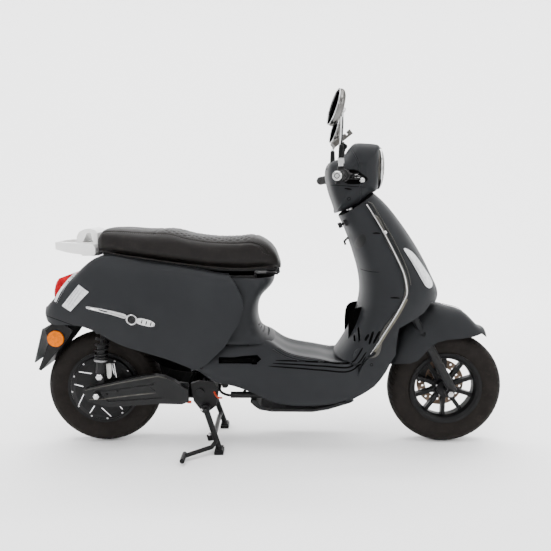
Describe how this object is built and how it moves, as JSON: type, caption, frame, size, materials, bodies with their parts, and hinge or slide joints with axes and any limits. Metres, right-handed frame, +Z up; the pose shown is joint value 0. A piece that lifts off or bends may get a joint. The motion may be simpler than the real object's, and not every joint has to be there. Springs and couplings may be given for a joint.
{
  "type": "moped scooter",
  "caption": "Step-through electric scooter with a long stitched seat, leg shield, headset, mirrors, centre stand, rear rack, hub motor wheel and working suspension.",
  "frame": {"origin": "on the ground under the centre of the bounding box", "axes": "+X to the front of the scooter, +Y to its left side, +Z up"},
  "size_m": [1.76, 0.7542, 1.2745],
  "materials": {
    "body_paint": "satin dark slate grey paint over ABS",
    "column_plastic": "satin dark grey moulded plastic",
    "black_plastic": "fine-textured black plastic",
    "seat_leather": "dark brown stitched synthetic leather over foam",
    "black_steel": "satin black powder coat",
    "bright_steel": "plated steel",
    "chrome_trim": "bright chrome",
    "silver_alloy": "satin cast alloy",
    "black_alloy": "black painted cast alloy",
    "disc_steel": "worn brake disc steel",
    "tyre_rubber": "road tyre rubber",
    "grip_rubber": "ribbed rubber",
    "clear_lens": "clear lens with a chrome rim",
    "red_lens": "clear red lens",
    "signal_lens": "clear lens",
    "amber_lens": "amber reflector",
    "white_paint": "glossy white paint",
    "battery_case": "dark sealed case",
    "button_plastic": "moulded plastic"
  },
  "bodies": {
    "chassis": {"frame_front": "black_steel", "frame_floor": "black_steel", "frame_rear": "black_steel", "battery": "battery_case", "belly_pan": "black_plastic", "floorboard": "column_plastic", "column_cover": "column_plastic", "cowl_left": "body_paint", "cowl_right": "body_paint", "tail_cover": "body_paint", "legshield_inner": "column_plastic", "front_apron": "body_paint", "edge_trims": "chrome_trim", "turn_signals": "signal_lens", "tail_light": "red_lens", "side_reflectors": "amber_lens", "rear_mudguard": "black_plastic", "number_plate": "black_plastic", "rack": "white_paint", "storage_bucket": "black_plastic", "stand_bracket": "black_steel", "pivot_bolts": "bright_steel"},
    "seat": {"seat_base": "black_plastic", "seat_cushion": "seat_leather"},
    "steering": {"steering_stem": "black_steel", "front_fender": "body_paint", "headset_front": "body_paint", "headset_rear": "column_plastic", "headlight": "clear_lens", "dash": "black_plastic", "handlebar": "bright_steel", "grip_left": "grip_rubber", "switch_housings": "black_plastic", "phone_holder": "black_plastic"},
    "throttle": {"throttle_grip": "grip_rubber"},
    "lever_right": {"brake_lever_right": "bright_steel"},
    "lever_left": {"brake_lever_left": "bright_steel"},
    "mirror_arm_right": {"mirror_stem_right": "black_plastic"},
    "mirror_arm_left": {"mirror_stem_left": "black_plastic"},
    "mirror_glass_right": {"mirror_head_right": "black_plastic"},
    "mirror_glass_left": {"mirror_head_left": "black_plastic"},
    "front_suspension": {"fork_sliders": "silver_alloy", "front_caliper": "silver_alloy"},
    "front_wheel": {"front_rim": "black_alloy", "front_tyre": "tyre_rubber", "front_disc": "disc_steel"},
    "rear_arm": {"swingarm": "black_steel"},
    "rear_wheel": {"hub_motor": "black_alloy", "rear_tyre": "tyre_rubber"},
    "shock_top": {"shock_uppers": "silver_alloy"},
    "shock_foot": {"shock_lowers": "silver_alloy"},
    "stand": {"centre_stand": "black_steel"},
    "peg_right": {"footpeg_right": "black_steel"},
    "peg_left": {"footpeg_left": "black_steel"},
    "hook": {"bag_hook": "bright_steel"},
    "key": {"ignition_key": "bright_steel"},
    "start": {"start_button": "button_plastic"},
    "horn": {"horn_button": "button_plastic"},
    "signal_lever": {"signal_switch": "button_plastic"},
    "jaw": {"phone_jaw": "black_plastic"}
  },
  "joints": [
    {"name": "seat_hinge", "type": "hinge", "parent": "chassis", "child": "seat", "pos_m": [0.024, 0, 0.668], "axis": [0, 1, 0], "range_deg": [0, 68]},
    {"name": "steering", "type": "hinge", "parent": "chassis", "child": "steering", "pos_m": [0.664, 0, 0.217], "axis": [-0.4772, 0, 0.8788], "range_deg": [-38, 38]},
    {"name": "throttle", "type": "hinge", "parent": "steering", "child": "throttle", "pos_m": [0.262, -0.11, 1.018], "axis": [-0.2355, -0.971, -0.0413], "range_deg": [0, 70], "stiffness_Nm_per_rad": 0.25},
    {"name": "brake_lever_right", "type": "hinge", "parent": "steering", "child": "lever_right", "pos_m": [0.28148, -0.1946, 1.0114], "axis": [0, 0, 1], "range_deg": [-14, 0], "stiffness_Nm_per_rad": 1.5},
    {"name": "brake_lever_left", "type": "hinge", "parent": "steering", "child": "lever_left", "pos_m": [0.28148, 0.1946, 1.0114], "axis": [0, 0, 1], "range_deg": [0, 14], "stiffness_Nm_per_rad": 1.5},
    {"name": "mirror_arm_right", "type": "hinge", "parent": "steering", "child": "mirror_arm_right", "pos_m": [0.238, -0.15, 1.046], "axis": [0, 0, 1], "range_deg": [-20, 20]},
    {"name": "mirror_arm_left", "type": "hinge", "parent": "steering", "child": "mirror_arm_left", "pos_m": [0.238, 0.15, 1.046], "axis": [0, 0, 1], "range_deg": [-20, 20]},
    {"name": "mirror_tilt_right", "type": "hinge", "parent": "mirror_arm_right", "child": "mirror_glass_right", "pos_m": [0.22, -0.322, 1.211], "axis": [0, 1, 0], "range_deg": [-5, 10]},
    {"name": "mirror_tilt_left", "type": "hinge", "parent": "mirror_arm_left", "child": "mirror_glass_left", "pos_m": [0.28574, 0.31622, 1.211], "axis": [0, 1, 0], "range_deg": [-5, 10]},
    {"name": "front_fork", "type": "slide", "parent": "steering", "child": "front_suspension", "axis": [-0.4772, 0, 0.8788], "range_m": [0, 0.028], "stiffness_N_per_m": 9000},
    {"name": "front_wheel", "type": "hinge", "parent": "front_suspension", "child": "front_wheel", "pos_m": [0.664, 0, 0.217], "axis": [0, 1, 0], "continuous": true},
    {"name": "rear_swingarm", "type": "hinge", "parent": "chassis", "child": "rear_arm", "pos_m": [-0.265, 0, 0.224], "axis": [0, 1, 0], "range_deg": [0, 4], "stiffness_Nm_per_rad": 4500},
    {"name": "rear_wheel", "type": "hinge", "parent": "rear_arm", "child": "rear_wheel", "pos_m": [-0.64, 0, 0.221], "axis": [0, 1, 0], "continuous": true},
    {"name": "shock_top_pivot", "type": "hinge", "parent": "chassis", "child": "shock_top", "pos_m": [-0.602, 0, 0.56], "axis": [0, 1, 0], "range_deg": [-12, 12]},
    {"name": "shock_stroke", "type": "slide", "parent": "shock_top", "child": "shock_foot", "axis": [0.0966, 0, 0.9953], "range_m": [0, 0.04]},
    {"name": "centre_stand", "type": "hinge", "parent": "chassis", "child": "stand", "pos_m": [-0.245, 0, 0.168], "axis": [0, 1, 0], "range_deg": [0, 72]},
    {"name": "footpeg_right", "type": "hinge", "parent": "chassis", "child": "peg_right", "pos_m": [-0.062, -0.15, 0.361], "axis": [0, 0, 1], "range_deg": [0, 80]},
    {"name": "footpeg_left", "type": "hinge", "parent": "chassis", "child": "peg_left", "pos_m": [-0.062, 0.15, 0.361], "axis": [0, 0, 1], "range_deg": [-80, 0]},
    {"name": "bag_hook", "type": "hinge", "parent": "chassis", "child": "hook", "pos_m": [0.306, 0, 0.8], "axis": [0, 1, 0], "range_deg": [0, 20]},
    {"name": "ignition_key", "type": "hinge", "parent": "chassis", "child": "key", "pos_m": [0.262, -0.062, 0.8471], "axis": [-0.9082, 0, -0.4184], "range_deg": [0, 90]},
    {"name": "start_button", "type": "slide", "parent": "steering", "child": "start", "axis": [1, 0, 0], "range_m": [0, 0.002], "stiffness_N_per_m": 400},
    {"name": "horn_button", "type": "slide", "parent": "steering", "child": "horn", "axis": [1, 0, 0], "range_m": [0, 0.002], "stiffness_N_per_m": 400},
    {"name": "signal_switch", "type": "hinge", "parent": "steering", "child": "signal_lever", "pos_m": [0.23749, 0.21105, 1.0137], "axis": [0, 0, 1], "range_deg": [-6, 6]},
    {"name": "phone_jaw", "type": "slide", "parent": "steering", "child": "jaw", "axis": [0.788, 0, 0.6157], "range_m": [0, 0.012]}
  ],
  "couplings": [
    {"joint": "shock_top_pivot", "follows": "rear_swingarm", "ratio": -0.18647},
    {"joint": "shock_stroke", "follows": "rear_swingarm", "m_per_rad": 0.36614}
  ]
}
